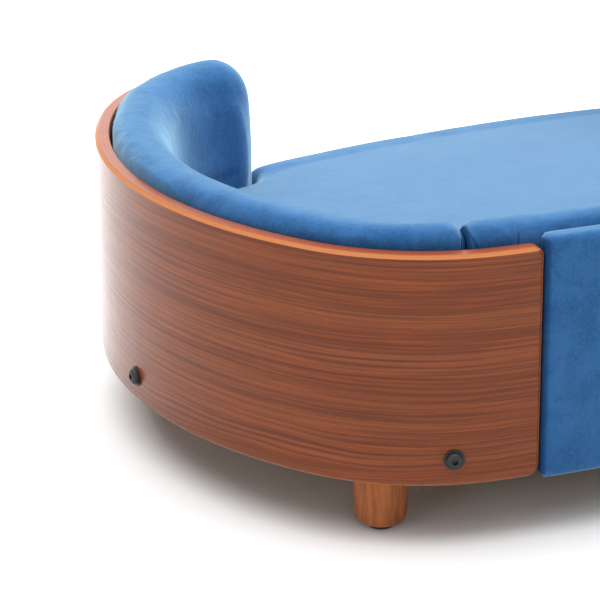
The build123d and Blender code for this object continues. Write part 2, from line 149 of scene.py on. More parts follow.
def oval_radii():
    """The corner and side radii that make the three arcs meet."""
    end, side = math.radians(END_TURN), math.radians(SIDE_TURN)
    along = HALF_LENGTH - END_RADIUS * (1 - math.cos(end))
    across = HALF_DEPTH - END_RADIUS * math.sin(end)
    rows = [[math.cos(end) - math.cos(side), math.cos(side)],
            [math.sin(side) - math.sin(end), 1 - math.sin(side)]]
    return np.linalg.solve(rows, [along, across])


CORNER_RADIUS, SIDE_RADIUS = (float(r) for r in oval_radii())
END_CENTRE = (HALF_LENGTH - END_RADIUS, 0.0)
CORNER_CENTRE = (END_CENTRE[0] + (END_RADIUS - CORNER_RADIUS) * math.cos(math.radians(END_TURN)),
                 (END_RADIUS - CORNER_RADIUS) * math.sin(math.radians(END_TURN)))
SIDE_CENTRE = (0.0, HALF_DEPTH - SIDE_RADIUS)
ARCS = ((END_CENTRE, END_RADIUS), (CORNER_CENTRE, CORNER_RADIUS), (SIDE_CENTRE, SIDE_RADIUS))
CORNER_START = END_RADIUS * math.radians(END_TURN)
SIDE_START = CORNER_START + CORNER_RADIUS * math.radians(SIDE_TURN - END_TURN)
SPLIT_LAP = CORNER_START + CORNER_RADIUS * math.radians(BOLSTER_SPLIT - END_TURN)


# Plan geometry
def arcs_at(angles):
    """Centres, radii and unit normals of the wall at angles."""
    turn = np.radians(np.asarray(angles, float))
    normal = np.stack([np.cos(turn), np.sin(turn)], -1)
    quarter = np.degrees(np.arctan2(np.abs(normal[..., 1]), np.abs(normal[..., 0])))
    kind = (quarter > END_TURN).astype(int) + (quarter > SIDE_TURN).astype(int)
    centres = np.array([arc[0] for arc in ARCS])[kind] * np.where(normal < 0, -1.0, 1.0)
    return centres, np.array([arc[1] for arc in ARCS])[kind], normal


def on_oval(angles, insets):
    """Plan points at distances inside the outer face of the wall."""
    centres, radii, normal = arcs_at(angles)
    return centres + (radii - np.asarray(insets, float))[..., None] * normal


def wall_place(points):
    """For points, the angle of the wall's normal and the distance inside its outer face."""
    quarter = np.abs(points[:, :2])
    turns, insets = [], []
    for centre, radius in ARCS:
        away = quarter - np.array(centre)
        turns.append(np.degrees(np.arctan2(away[:, 1], away[:, 0])))
        insets.append(radius - np.hypot(away[:, 0], away[:, 1]))
    kind = np.where(turns[0] <= END_TURN, 0, np.where(turns[2] >= SIDE_TURN, 2, 1))
    turn = np.choose(kind, turns)
    turn = np.where(points[:, 0] < 0, 180 - turn, turn)
    turn = np.where(points[:, 1] < 0, -turn, turn)
    return turn, np.choose(kind, insets)


def lengths_along(points):
    """How far along a line each of its points lies."""
    return np.concatenate([[0.0], np.cumsum(np.linalg.norm(np.diff(points, axis=0), axis=1))])


def run_angles(start, stop, inset, step):
    """Angles along the wall, a step apart along the line at an inset, with both ends."""
    fine = np.linspace(start, stop, 2000)
    length = lengths_along(on_oval(fine, np.full(fine.shape, inset)))
    count = max(2, int(round(length[-1] / step)) + 1)
    return np.interp(np.linspace(0, length[-1], count), length, fine)


def evenly(points, count):
    """Points spaced evenly round a closed line."""
    points = np.asarray(points, float)
    points = np.vstack([points, points[:1]])
    length = lengths_along(points)
    marks = np.linspace(0, length[-1], count + 1)[:-1]
    return np.stack([np.interp(marks, length, points[:, k]) for k in range(points.shape[1])], 1)


def inward_of(line):
    """Unit vectors that point into a closed plan line."""
    after = np.roll(line, -1, 0)
    along = after - np.roll(line, 1, 0)
    side = np.stack([-along[:, 1], along[:, 0]], 1)
    side /= np.linalg.norm(side, axis=1, keepdims=True)
    area = np.sum(line[:, 0] * after[:, 1] - after[:, 0] * line[:, 1])
    return side if area > 0 else -side


def ease(x):
    """Rises smoothly from 0 to 1."""
    x = np.clip(x, 0, 1)
    return x * x * (3 - 2 * x)


def quarter_turn(radius, start, stop, count):
    """How far a rounded edge lies in and up from its corner, at turns along it."""
    turns = np.radians(np.linspace(start, stop, count))
    return [(radius * (1 - math.cos(t)), radius * (1 - math.sin(t))) for t in turns]


def wander(points, size, seed):
    """A smooth random number from -1 to 1 that changes over a distance, the same on every run."""
    rng = np.random.default_rng(seed)
    total = np.zeros(len(points))
    for weight, scale in ((0.6, 1.0), (0.3, 1.9), (0.15, 3.7)):
        for _ in range(3):
            direction = rng.normal(size=3)
            direction /= np.linalg.norm(direction)
            phase = rng.uniform(0, 2 * math.pi)
            bend = rng.normal(size=3) * 0.6
            sway = np.sin(points @ (bend * 2 * math.pi / size))
            total += weight / 3 * np.sin(points @ (direction * 2 * math.pi * scale / size) + phase + sway)
    return total


# Mesh helpers
def placed(name, mesh):
    """A new object in the scene."""
    obj = bpy.data.objects.new(name, mesh)
    bpy.context.scene.collection.objects.link(obj)
    return obj


def object_from(name, points, faces, smooth=True):
    """A new object made of points and faces."""
    mesh = bpy.data.meshes.new(name)
    mesh.from_pydata([tuple(p) for p in points], [], [tuple(f) for f in faces])
    mesh.validate()
    mesh.update()
    if smooth:
        mesh.shade_smooth()
    return placed(name, mesh)


def outward(obj):
    """Joins points in the same place and turns all faces outwards."""
    work = bmesh.new()
    work.from_mesh(obj.data)
    bmesh.ops.remove_doubles(work, verts=work.verts, dist=1e-6)
    bmesh.ops.recalc_face_normals(work, faces=work.faces)
    work.to_mesh(obj.data)
    work.free()
    obj.data.update()
    return obj


def skinned(name, rings, caps=True):
    """A closed shape through rings of points, with its two ends closed by fans where they are open."""
    rings = np.asarray(rings, float)
    count, width = rings.shape[:2]
    points = rings.reshape(-1, 3).tolist()
    faces = []
    for low in range(0, (count - 1) * width, width):
        high = low + width
        for j in range(width):
            k = (j + 1) % width
            faces.append((low + j, low + k, high + k, high + j))
    for start in (0, (count - 1) * width) if caps else ():
        hub = len(points)
        points.append(np.mean(points[start:start + width], axis=0).tolist())
        faces += [(start + j, start + (j + 1) % width, hub) for j in range(width)]
    return outward(object_from(name, points, faces))


def plain_mesh(obj):
    """The object with its modifiers made part of its mesh."""
    graph = bpy.context.evaluated_depsgraph_get()
    mesh = bpy.data.meshes.new_from_object(obj.evaluated_get(graph))
    old = obj.data
    obj.modifiers.clear()
    obj.data = mesh
    if old.users == 0:
        bpy.data.meshes.remove(old)
    return obj


def points_of(mesh):
    """A mesh's points as rows of X, Y and Z."""
    flat = np.empty(len(mesh.vertices) * 3)
    mesh.vertices.foreach_get("co", flat)
    return flat.reshape(-1, 3)


def move_points(mesh, points):
    """Gives a mesh's points new places."""
    mesh.vertices.foreach_set("co", np.ascontiguousarray(points, dtype=np.float32).ravel())
    mesh.update()


def blown_up(obj, pressure):
    """Runs the piece as a cloth bag under pressure and keeps its last shape."""
    cloth = obj.modifiers.new("Cloth", "CLOTH")
    cloth.settings.use_pressure = True
    cloth.settings.uniform_pressure_force = pressure
    cloth.settings.mass = 0.25
    cloth.settings.tension_stiffness = 12
    cloth.settings.compression_stiffness = 12
    cloth.settings.effector_weights.gravity = 0
    scene = bpy.context.scene
    for number in range(1, 21):
        scene.frame_set(number)
        bpy.context.evaluated_depsgraph_get().update()
    plain_mesh(obj)
    scene.frame_set(1)


def inflated(obj, pressure, cap, keep, voxel):
    """The shape remeshed, blown up, held within a cap and off its neighbours, and subdivided."""
    remesh = obj.modifiers.new("Remesh", "REMESH")
    remesh.mode = "VOXEL"
    remesh.voxel_size = voxel
    plain_mesh(obj)
    rest = points_of(obj.data)
    blown_up(obj, pressure)
    moved = points_of(obj.data) - rest
    far = np.linalg.norm(moved, axis=1, keepdims=True)
    moved = moved * (cap * np.tanh(far / cap) / np.maximum(far, 1e-9))
    move_points(obj.data, keep(rest + moved))
    soften = obj.modifiers.new("Smooth", "SMOOTH")
    soften.iterations = 3
    soften.factor = 0.5
    finer = obj.modifiers.new("Finer", "SUBSURF")
    finer.levels = 1
    finer.render_levels = 1
    plain_mesh(obj)
    move_points(obj.data, keep(points_of(obj.data)))
    obj.data.shade_smooth()
    return obj


def mirrored_copy(obj, name):
    """The same piece for the bed's other end."""
    mesh = obj.data.copy()
    points = points_of(mesh)
    points[:, 0] *= -1
    move_points(mesh, points)
    mesh.flip_normals()
    mesh.name = name
    return placed(name, mesh)


def on_surface(obj, path):
    """Path points brought onto a piece, with the way the surface faces there."""
    mesh = obj.data
    tree = BVHTree.FromPolygons([v.co for v in mesh.vertices], [tuple(p.vertices) for p in mesh.polygons])
    spots, facing = [], []
    for point in path:
        spot, normal, _, _ = tree.find_nearest(Vector(point))
        spots.append(tuple(spot + normal * 0.0001))
        facing.append(tuple(normal))
    return np.array(spots), np.array(facing)


# Shader expressions
def maths(operation, swapped=False):
    """One step of arithmetic on a value, as an operator or a method."""
    def step(self, other=0.0):
        first, second = (other, self) if swapped else (self, other)
        return self.finish.node("ShaderNodeMath", {"operation": operation}, {0: first, 1: second})
    return step


class Value:
    """A number that changes over a surface, for use in Python expressions."""

    def __init__(self, finish, socket):
        self.finish = finish
        self.socket = socket

    __add__ = maths("ADD")
    __radd__ = maths("ADD", swapped=True)
    __sub__ = maths("SUBTRACT")
    __rsub__ = maths("SUBTRACT", swapped=True)
    __mul__ = maths("MULTIPLY")
    __truediv__ = maths("DIVIDE")
    __abs__ = maths("ABSOLUTE")
    __lt__ = maths("LESS_THAN")
    __gt__ = maths("GREATER_THAN")
    least = maths("MINIMUM")
    most = maths("MAXIMUM")
    turn = maths("ARCTAN2")
    root = maths("SQRT")
    sine = maths("SINE")
    wrapped = maths("FLOORED_MODULO")

    def between(self, low, high):
        """Rises smoothly from 0 at low to 1 at high."""
        return self.finish.node("ShaderNodeMapRange", {"interpolation_type": "SMOOTHSTEP"},
                                {"Value": self, "From Min": low, "From Max": high})


class Finish:
    """The shader tree of one material, or of the sky, under construction."""

    def __init__(self, owner):
        self.owner = owner
        owner.use_nodes = True
        self.tree = owner.node_tree
        self.tree.nodes.clear()
        self.count = 0

    def node(self, kind, settings=None, values=None, out=0):
        """Adds a node, sets it up, feeds its sockets and gives one of its outputs."""
        node = self.tree.nodes.new(kind)
        node.location = (-220 * (self.count % 12), -180 * (self.count // 12))
        self.count += 1
        for key, setting in (settings or {}).items():
            setattr(node, key, setting)
        for key, value in (values or {}).items():
            socket = node.inputs[key]
            if isinstance(value, Value):
                self.tree.links.new(value.socket, socket)
            elif socket.type == "RGBA" and len(value) == 3:
                socket.default_value = (*value, 1.0)
            else:
                socket.default_value = value
        return Value(self, node.outputs[out])

    def spot(self):
        """The place on the piece as one vector."""
        return self.node("ShaderNodeTexCoord", out="Object")

    def place(self):
        """X, Y and Z on the piece."""
        split = self.node("ShaderNodeSeparateXYZ", None, {0: self.spot()})
        return [Value(self, out) for out in split.socket.node.outputs]

    def cloud(self, spot, detail=2.0, roughness=0.5, distortion=0.0, scale=1.0):
        """Soft noise from 0 to 1 at a vector or at three coordinates."""
        if isinstance(spot, tuple):
            spot = self.node("ShaderNodeCombineXYZ", None, dict(enumerate(spot)))
        return self.node("ShaderNodeTexNoise", None, {"Vector": spot, "Scale": scale, "Detail": detail,
                                                      "Roughness": roughness, "Distortion": distortion})

    def grain(self, along_x, along_y, along_z, *shape):
        """Soft noise drawn out by its own scale along each axis."""
        x, y, z = self.place()
        return self.cloud((x * along_x, y * along_y, z * along_z), *shape)

    def blend(self, colour, *coats):
        """A colour with others laid over it, each by its share."""
        for share, coat in coats:
            colour = self.node("ShaderNodeMix", {"data_type": "RGBA"}, {0: share, 6: colour, 7: coat}, out=2)
        return colour

    def bump(self, height, distance, strength):
        """The surface's normal with small heights pressed into it."""
        values = {"Height": height, "Distance": distance, "Strength": strength}
        return self.node("ShaderNodeBump", None, values)

    def wall(self):
        """Distance round the wall from the bed's end, depth inside its outer face, and height."""
        x, y, z = self.place()
        east, north = abs(x), abs(y)
        turns, depths = [], []
        for centre, radius in ARCS:
            dx, dy = east - centre[0], north - centre[1]
            turns.append(dy.turn(dx))
            depths.append(radius - (dx * dx + dy * dy).root())
        end, side = math.radians(END_TURN), math.radians(SIDE_TURN)
        at_end = turns[0] < end
        at_side = turns[2] > side
        at_corner = 1.0 - at_end - at_side
        depth = depths[0] * at_end + depths[1] * at_corner + depths[2] * at_side
        run = turns[0] * END_RADIUS * at_end
        run = run + (turns[1] * CORNER_RADIUS + (CORNER_START - CORNER_RADIUS * end)) * at_corner
        run = run + (turns[2] * SIDE_RADIUS + (SIDE_START - SIDE_RADIUS * side)) * at_side
        return run * ((y > 0.0) * 2.0 - 1.0), depth, z

    def seen(self):
        """1 for rays from the camera, a reflection or a clear piece, 0 for those that only carry light."""
        rays = self.node("ShaderNodeLightPath").socket.node.outputs
        camera, glossy, clear = (Value(self, rays[kind + " Ray"])
                                 for kind in ("Is Camera", "Is Glossy", "Is Transmission"))
        return (camera + glossy + clear).least(1.0)

    def shader(self, constants, colour, roughness, normal):
        """A principled shader fed with the finished values."""
        return self.node("ShaderNodeBsdfPrincipled", None,
                         {**constants, "Base Color": colour, "Roughness": roughness, "Normal": normal})

    def surface(self, *values):
        """The material, with one principled shader joined to its output."""
        return self.shown(self.shader(*values))

    def shown(self, shader, output="ShaderNodeOutputMaterial"):
        """Joins a shader to the output and gives the finished material or sky."""
        out = self.tree.nodes.new(output)
        self.tree.links.new(shader.socket, out.inputs["Surface"])
        return self.owner


def finished(build):
    """Makes a material once and gives the same one afterwards."""
    def get():
        name = build.__name__
        return bpy.data.materials.get(name) or build(Finish(bpy.data.materials.new(name)))
    return get


# Finishes
def veneer_figure(finish, run, up, depth):
    """Wide bands, streaks, even stripes, fine lines and pores that run round the wall, and a warm cast."""
    drift = finish.cloud((run * 2.6, up * 4.0, depth * 2.0))
    figure = finish.cloud((run * 5.0, up * 12.0, 3.3))
    arch = (0.060 - up).most(0.0) * (figure - 0.5) * 0.55
    line = up + (drift - 0.5) * 0.007 + arch
    bands = finish.cloud((run * 1.2, line * 62.0, 1.2), 3.0, 0.6)
    streaks = finish.cloud((run * 2.8, line * 380.0, 4.1), 3.0, 0.62)
    sway = finish.cloud((run * 2.0, line * 26.0, 5.6))
    stripes = (line * 1150.0 + sway * 14.0).sine() * 0.5 + 0.5
    fine = finish.cloud((run * 13.0, line * 1100.0, 7.7), 2.0, 0.6)
    pores = finish.cloud((run * 150.0, line * 2600.0, 2.9), 1.0).between(0.60, 0.74)
    warm = finish.cloud((run * 9.0, line * 420.0, 9.1), 3.0, 0.6)
    return bands, streaks, stripes, fine, pores, warm


def ply_edge(finish, run, up, depth):
    """Lines and colour of the plywood's stained edge."""
    colours = bpy.context.scene.dog_bed_colours
    layer = (depth / 0.00186).wrapped(2.0) > 1.0
    lines = finish.cloud((run * 9.0, depth * 900.0, up * 20.0))
    return lines, finish.blend(colours.edge, (layer * 0.28 + lines * 0.3, colours.edge_dark))


def ply_edges_at(x, up, depth, height):
    """Where the rim and the cut ends show the plywood's edge, and where a painted highlight lies on the bevel
    and along the foot and the cut ends.
    """
    on_rim = (height - (RIM - RIM_BEVEL)).between(-0.0003, 0.0002)
    # Painted highlight: the bevel, a thin line along the foot and one beside each cut end are made lighter
    # for the light these edges catch; the foot and end lines also stand for raw ply edge showing there
    bevel = on_rim * (1.0 - depth.between(RIM_BEVEL - 0.0008, RIM_BEVEL + 0.0006))
    past_cut = abs(x) - OPENING
    at_cut = 1.0 - past_cut.between(0.0003, 0.0008)
    end_line = 1.0 - past_cut.between(0.0012, 0.0022)
    foot_line = 1.0 - up.between(0.0006, 0.0014)
    return on_rim.most(at_cut), bevel.most(foot_line * 0.7).most(end_line * 0.8)


@finished
def walnut_veneer(finish):
    colours = bpy.context.scene.dog_bed_colours
    lap, depth, height = finish.wall()
    x, _, _ = finish.place()
    run = lap + (x < 0.0) * 1.7
    up = height - SHELL_FOOT
    bands, streaks, stripes, fine, pores, warm = veneer_figure(finish, run, up, depth)
    edge_lines, edge = ply_edge(finish, run, up, depth)
    at_edge, painted_highlight = ply_edges_at(x, up, depth, height)
    face = finish.blend(colours.veneer,
                        (bands.between(0.34, 0.64), colours.veneer_light),
                        (warm.between(0.46, 0.66) * 0.7, colours.veneer_warm),
                        (streaks.between(0.47, 0.64) * 0.62, colours.veneer_dark),
                        (stripes.between(0.45, 0.98) * 0.26, colours.veneer_dark),
                        (fine.between(0.42, 0.68) * 0.34, colours.veneer_dark),
                        (pores * 0.40, PORE_BROWN))
    inner_face = finish.blend(colours.veneer, (bands.between(0.3, 0.7), colours.edge_dark))
    # The last layer is the painted highlight on the bevel and the thin edges
    colour = finish.blend(face, (depth.between(WALL - 0.001, WALL - 0.0004), inner_face),
                          (at_edge, edge), (painted_highlight, colours.bevel_highlight))
    wear = finish.cloud((run * 40.0, up * 40.0, depth * 40.0), 3.0)
    flat = 1.0 - at_edge
    rough = 0.27 + wear * 0.10 + pores * flat * 0.18 + at_edge * 0.18
    grain = (streaks * 0.3 + fine * 0.5 - pores * 0.9) * flat + edge_lines * at_edge * 0.2
    return finish.surface({"Coat Weight": 0.7 + flat * 0.3, "Coat Roughness": 0.22, "Coat IOR": 1.2,
                           "Specular IOR Level": 0.10}, colour, rough, finish.bump(grain, 0.00012, 0.5))


@finished
def raw_plywood(finish):
    x, y, z = finish.place()
    drift = finish.cloud((x * 3.0, y * 5.0, z * 5.0))
    line = y + (drift - 0.5) * 0.08
    grain = finish.cloud((x * 5.0, line * 85.0, z * 6.0), 4.0, 0.6)
    fine = finish.cloud((x * 30.0, line * 700.0, z * 30.0))
    layer = ((z - SHELL_FOOT) / 0.0015).wrapped(2.0)
    dark_layer = layer.between(0.85, 1.0) * (1.0 - layer.between(1.85, 2.0))
    colour = finish.blend((0.53, 0.40, 0.27),
                          (grain.between(0.3, 0.75), (0.40, 0.29, 0.18)),
                          (fine.between(0.4, 0.8) * 0.35, (0.36, 0.22, 0.12)),
                          (dark_layer * 0.35, (0.34, 0.21, 0.12)))
    return finish.surface({"Specular IOR Level": 0.35}, colour, 0.62 + fine * 0.2,
                          finish.bump(grain * 0.5 + fine, 0.0002, 0.4))


@finished
def turned_leg(finish):
    colours = bpy.context.scene.dog_bed_colours
    x, y, z = finish.place()
    drift = finish.cloud((x * 30.0, y * 30.0, z * 9.0))
    grain = finish.cloud((x * 260.0 + drift * 3.0, y * 260.0, z * 16.0), 3.0, 0.6)
    fine = finish.cloud((x * 1500.0, y * 1500.0, z * 60.0))
    colour = finish.blend(colours.leg, (grain.between(0.35, 0.7), colours.leg_dark),
                          (fine.between(0.5, 0.8) * 0.4, (0.16, 0.045, 0.014)))
    lathe = (z * 2600.0).sine()
    return finish.surface({"Coat Weight": 0.3, "Coat Roughness": 0.2, "Coat IOR": 1.3,
                           "Specular IOR Level": 0.16}, colour, 0.32 + grain * 0.14,
                          finish.bump(fine * 0.8 + lathe * 0.06, 0.0001, 0.4))


@finished
def black_steel(finish):
    speck = finish.cloud(finish.spot(), 3.0, scale=1800.0)
    rub = finish.cloud(finish.spot(), 3.0, scale=260.0)
    colour = finish.blend((0.011, 0.010, 0.011), (rub.between(0.5, 0.8), (0.028, 0.022, 0.020)))
    return finish.surface({"Metallic": 0.35, "Specular IOR Level": 0.6}, colour, 0.26 + rub * 0.16,
                          finish.bump(speck, 0.00004, 0.5))


@finished
def zinc_steel(finish):
    spangle = finish.node("ShaderNodeTexVoronoi", {"feature": "F1"},
                          {"Vector": finish.spot(), "Scale": 260.0}, out="Distance")
    brush = finish.grain(60.0, 1400.0, 1400.0)
    colour = finish.blend((0.60, 0.60, 0.58), (spangle.between(0.1, 0.7), (0.42, 0.42, 0.42)))
    return finish.surface({"Metallic": 0.95}, colour, 0.28 + brush * 0.2, finish.bump(brush, 0.00004, 0.5))


@finished
def black_plastic(finish):
    texture = finish.cloud(finish.spot(), 3.0, scale=1500.0)
    scuff = finish.grain(300.0, 300.0, 900.0)
    colour = finish.blend((0.012, 0.012, 0.012), (scuff.between(0.5, 0.8), (0.045, 0.043, 0.040)))
    return finish.surface({}, colour, 0.5 + scuff * 0.2, finish.bump(texture, 0.00008, 0.6))


@finished
def beech(finish):
    grain = finish.grain(60.0, 30.0, 500.0, 3.0)
    colour = finish.blend((0.55, 0.36, 0.2), (grain, (0.66, 0.46, 0.28)))
    return finish.surface({}, colour, 0.6, finish.bump(grain, 0.0001, 0.4))


def pile(finish):
    """Colour, roughness and height of short velvet with stroked patches, smudges and a fine nap."""
    colours = bpy.context.scene.dog_bed_colours
    patches = finish.cloud(finish.spot(), 3.0, 0.55, 0.6, 30.0)
    smudges = finish.grain(105.0, 105.0, 60.0, 3.0, 0.6, 0.8)
    nap = finish.cloud(finish.spot(), 3.0, 0.65, scale=420.0)
    tufts = finish.cloud(finish.spot(), 2.0, 0.6, scale=1100.0)
    colour = finish.blend(colours.velvet,
                          (patches.between(0.34, 0.66) * 0.60, colours.velvet_lit),
                          (smudges.between(0.46, 0.68) * 0.28, colours.velvet_shade),
                          (nap.between(0.44, 0.66) * 0.50, colours.velvet_lit),
                          (tufts.between(0.48, 0.68) * 0.30, colours.velvet_shade))
    height = patches * 2.2 + smudges * 1.1 + nap * 0.9 + tufts * 0.45
    return colour, 0.72 + smudges * 0.14, height


def drawn_lines(finish, lap, depth, height):
    """Lines of painted shade where the bolsters are sewn or pleated, and painted shade in the joint between
    the bolsters and at the panels' ends.
    """
    on_bolster = depth.between(0.012, 0.013) * (1.0 - depth.between(0.066, 0.068)) * (height > DECK)
    past = lap - SPLIT_LAP
    seam = (1.0 - abs(past + END_SEAM).between(0.0002, 0.0010)) * on_bolster
    over = height - RIM
    low = (1.0 - over.between(0.004, 0.012)) * on_bolster * (1.0 - depth.between(0.026, 0.032))
    pleats = 0.0
    for spot, lean in PLEATS:
        pleats = (1.0 - abs(past - spot - over * lean).between(0.0002, 0.0018)) * low + pleats
    # Painted shade in the joint between the bolsters and at the panels' ends
    joint = (1.0 - abs(past).between(0.0026, 0.0060)) * on_bolster
    x, _, _ = finish.place()
    panel_end = abs(x).between(PANEL_REACH - 0.0042, PANEL_REACH - 0.0008)
    panel_end = panel_end * (1.0 - depth.between(0.012, 0.015))
    return seam, pleats, joint.most(panel_end)


@finished
def velvet(finish):
    colour, rough, height = pile(finish)
    lap, depth, level = finish.wall()
    seam, pleats, shaded_joint = drawn_lines(finish, lap, depth, level)
    # The mattress, away from the wall, gets a painted sheen: a paler blue mixed in by the pile's height
    colour = finish.blend(colour, (depth.between(0.070, 0.076) * (height * 0.16 + 0.42), MATTRESS_PAINTED_SHEEN),
                          # Painted shade along the end seam and the pleats
                          (seam.most(pleats * 0.7) * 0.85, PAINTED_SHADE_BLUE))
    normal = finish.bump(height - seam * 2.5 - pleats * 2.5, 0.0005, 0.5)
    # Where the joint mask is set, a darker copy of the velvet without sheen is mixed in: painted shade in the
    # joints
    with_sheen = finish.shader({"Sheen Weight": 1.0, "Sheen Roughness": 0.42, "Sheen Tint": (0.56, 0.87, 1.0),
                             "IOR": 1.05}, colour, rough, normal)
    flat = finish.shader({"IOR": 1.05}, finish.blend(colour, (0.6, PAINTED_SHADE_BLUE)), rough, normal)
    return finish.shown(finish.node("ShaderNodeMixShader", None, {0: shaded_joint, 1: with_sheen, 2: flat}))


@finished
def woven_black(finish):
    x, y, _ = finish.place()
    weft = (x * 4200.0).sine() * (y * 4200.0).sine()
    fuzz = finish.cloud(finish.spot(), 3.0, scale=1200.0)
    colour = finish.blend((0.012, 0.012, 0.014), (fuzz, (0.035, 0.035, 0.040)))
    return finish.surface({"Sheen Weight": 0.2}, colour, 0.85, finish.bump(weft * 0.5 + fuzz, 0.0002, 0.5))


@finished
def grip_dot(finish):
    matt = finish.cloud(finish.spot(), scale=900.0)
    colour = finish.blend((0.02, 0.02, 0.022), (matt, (0.06, 0.06, 0.065)))
    return finish.surface({}, colour, 0.45 + matt * 0.1, finish.bump(matt, 0.0001, 0.3))


@finished
def sewing_thread(finish):
    x, y, z = finish.place()
    twist = ((x + y + z) * 9000.0).sine()
    colour = finish.blend((0.03, 0.09, 0.22), (twist * 0.5 + 0.5, (0.07, 0.18, 0.36)))
    return finish.surface({"Sheen Weight": 0.2}, colour, 0.6, finish.bump(twist, 0.0001, 0.4))


@finished
def staple_wire(finish):
    drawn = finish.grain(200.0, 2000.0, 2000.0)
    colour = finish.blend((0.5, 0.5, 0.49), (drawn, (0.68, 0.68, 0.66)))
    return finish.surface({"Metallic": 1.0}, colour, 0.3 + drawn * 0.15, finish.bump(drawn, 0.00003, 0.4))


# Repeated pieces made with geometry nodes
class Recipe:
    """A geometry-node tree under construction."""

    def __init__(self, name, lengths):
        self.tree = bpy.data.node_groups.new(name, "GeometryNodeTree")
        face = self.tree.interface
        face.new_socket("Geometry", in_out="INPUT", socket_type="NodeSocketGeometry")
        face.new_socket("Geometry", in_out="OUTPUT", socket_type="NodeSocketGeometry")
        self.ids = {}
        for label, default in lengths.items():
            socket = face.new_socket(label, in_out="INPUT", socket_type="NodeSocketFloat")
            socket.default_value = default
            self.ids[label] = socket.identifier
        socket = face.new_socket("Material", in_out="INPUT", socket_type="NodeSocketMaterial")
        self.ids["Material"] = socket.identifier
        self.given = self.tree.nodes.new("NodeGroupInput").outputs
        self.end = self.tree.nodes.new("NodeGroupOutput").inputs[0]

    def node(self, kind, settings=None, values=None, out=0):
        """Adds a node, sets it up, feeds its sockets and gives one of its outputs."""
        node = self.tree.nodes.new(kind)
        for key, setting in (settings or {}).items():
            setattr(node, key, setting)
        for key, value in (values or {}).items():
            if isinstance(value, bpy.types.NodeSocket):
                self.tree.links.new(value, node.inputs[key])
            else:
                node.inputs[key].default_value = value
        return node.outputs[out]

    def end_with_copies(self, values):
        """Sets copies of a shape on points, makes them real and gives them their material."""
        laid = self.node("GeometryNodeInstanceOnPoints", None, values)
        real = self.node("GeometryNodeRealizeInstances", None, {0: laid})
        painted = self.node("GeometryNodeSetMaterial", None,
                            {"Geometry": real, "Material": self.given["Material"]})
        self.tree.links.new(painted, self.end)
        return self

    def run_on(self, obj, values):
        """Runs the tree on an object and leaves the result as its plain mesh."""
        modifier = obj.modifiers.new(self.tree.name, "NODES")
        modifier.node_group = self.tree
        for label, value in values.items():
            modifier[self.ids[label]] = value
        return plain_mesh(obj)


def thread_recipe():
    """Short rounded lengths laid along a line, each turned with the line and leaning with the surface."""
    recipe = Recipe("lengths_along_a_line", {"Spacing": 0.004, "Length": 0.003, "Thickness": 0.0005})
    given = recipe.given
    line = recipe.node("GeometryNodeMeshToCurve", None, {0: given["Geometry"]})
    even = recipe.node("GeometryNodeResampleCurve", {"mode": "LENGTH"},
                       {"Curve": line, "Length": given["Spacing"]})
    lean = recipe.node("GeometryNodeInputNamedAttribute", {"data_type": "FLOAT_VECTOR"}, {"Name": "lean"},
                       out="Attribute")
    turn = recipe.node("FunctionNodeAxesToRotation", {"primary_axis": "Z", "secondary_axis": "X"},
                       {0: lean, 1: recipe.node("GeometryNodeInputTangent")})
    pill = recipe.node("GeometryNodeMeshUVSphere", None, {"Segments": 6, "Rings": 4, "Radius": 0.5})
    size = recipe.node("ShaderNodeCombineXYZ", None,
                       {0: given["Length"], 1: given["Thickness"], 2: given["Thickness"]})
    return recipe.end_with_copies({"Points": even, "Instance": pill, "Rotation": turn, "Scale": size})


def dot_recipe():
    """A grid of small domes hung under a flat piece, only where the piece is above them."""
    recipe = Recipe("dots_under_a_sheet", {"Spacing": 0.012, "Dot": 0.0035, "Level": 0.1})
    given = recipe.given
    span = recipe.node("ShaderNodeMath", {"operation": "MULTIPLY"},
                       {0: given["Spacing"], 1: DOTS_ACROSS - 1.0})
    grid = recipe.node("GeometryNodeMeshGrid", None,
                       {"Size X": span, "Size Y": span, "Vertices X": DOTS_ACROSS, "Vertices Y": DOTS_ACROSS})
    drop = recipe.node("ShaderNodeCombineXYZ", None, {2: given["Level"]})
    lowered = recipe.node("GeometryNodeSetPosition", None, {"Geometry": grid, "Offset": drop})
    hit = recipe.node("GeometryNodeRaycast", None, {"Target Geometry": given["Geometry"], "Ray Length": 0.004,
                                                    "Ray Direction": (0, 0, 1)}, out="Is Hit")
    miss = recipe.node("FunctionNodeBooleanMath", {"operation": "NOT"}, {0: hit})
    kept = recipe.node("GeometryNodeDeleteGeometry", {"domain": "POINT"},
                       {"Geometry": lowered, "Selection": miss})
    dome = recipe.node("GeometryNodeMeshIcoSphere", None, {"Radius": 0.5, "Subdivisions": 1})
    size = recipe.node("ShaderNodeCombineXYZ", None, {0: given["Dot"], 1: given["Dot"], 2: 0.0004})
    return recipe.end_with_copies({"Points": kept, "Instance": dome, "Scale": size})


def laid_along(name, path, lean, body, spacing, length, thickness, material):
    """Stitches or staples along a path, as one piece that rides on a body."""
    mesh = bpy.data.meshes.new(name)
    mesh.from_pydata([tuple(p) for p in path], [(i, i + 1) for i in range(len(path) - 1)], [])
    layer = mesh.attributes.new("lean", "FLOAT_VECTOR", "POINT")
    layer.data.foreach_set("vector", np.asarray(lean, float).ravel())
    obj = placed(name, mesh)
    values = {"Spacing": spacing, "Length": length, "Thickness": thickness, "Material": material}
    thread_recipe().run_on(obj, values)
    obj.data.shade_smooth()
    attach(obj, body)


def paint(nodes, material):
    """Gives carried-over nodes a finish."""
    for name in nodes:
        for slot in frame["nodes"][name].material_slots:
            slot.material = material


def dressed(obj, body, *nodes):
    """Covers a soft piece in velvet and lets it stand for the plain solids it covers."""
    obj.data.materials.clear()
    obj.data.materials.append(velvet())
    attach(obj, body)
    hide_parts(*nodes)


